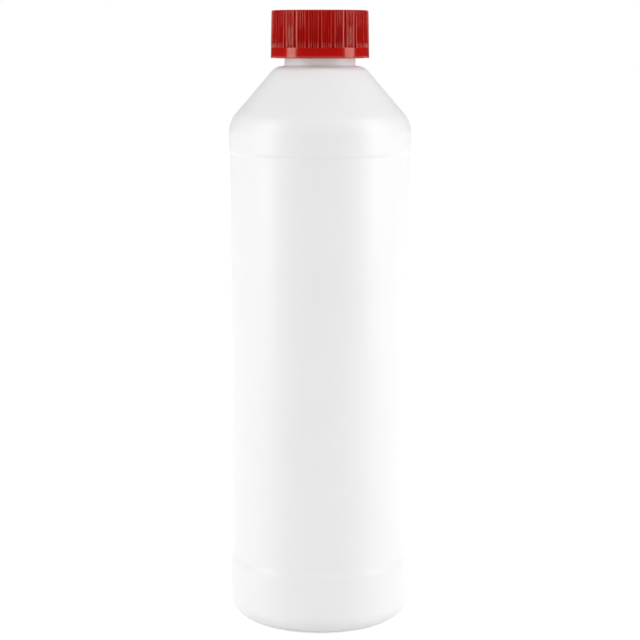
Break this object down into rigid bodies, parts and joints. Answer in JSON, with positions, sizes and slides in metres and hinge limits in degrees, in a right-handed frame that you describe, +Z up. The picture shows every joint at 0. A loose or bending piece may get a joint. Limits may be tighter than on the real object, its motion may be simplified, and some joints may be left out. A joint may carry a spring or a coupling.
{
  "type": "hdpe plastic bottle",
  "caption": "Round white blow-moulded bottle with a cone shoulder, a recessed label panel and a ribbed red screw cap that turns and rises on its thread.",
  "frame": {"origin": "centre of the standing ring, on the surface the bottle stands on", "axes": "+Z up along the bottle's axis; the mould's parting line and the base weld lie along X"},
  "size_m": [0.0644, 0.0644, 0.2156],
  "materials": {
    "white_hdpe": "satin, translucent at the edges",
    "red_cap": "moulded gloss",
    "white_liner": "soft foamed sheet"
  },
  "bodies": {
    "bottle": {"bottle": "white_hdpe"},
    "liner": {"cap_liner": "white_liner"},
    "cap": {"cap": "red_cap"}
  },
  "joints": [
    {"name": "cap_rise", "type": "slide", "parent": "bottle", "child": "liner", "axis": [0, 0, 1], "range_m": [0, 0.0168]},
    {"name": "cap_turn", "type": "hinge", "parent": "liner", "child": "cap", "pos_m": [0, 0, 0.21223], "axis": [0, 0, 1], "range_deg": [0, 1440]}
  ],
  "couplings": [
    {"joint": "cap_rise", "follows": "cap_turn", "m_per_rad": 0.00066845}
  ]
}
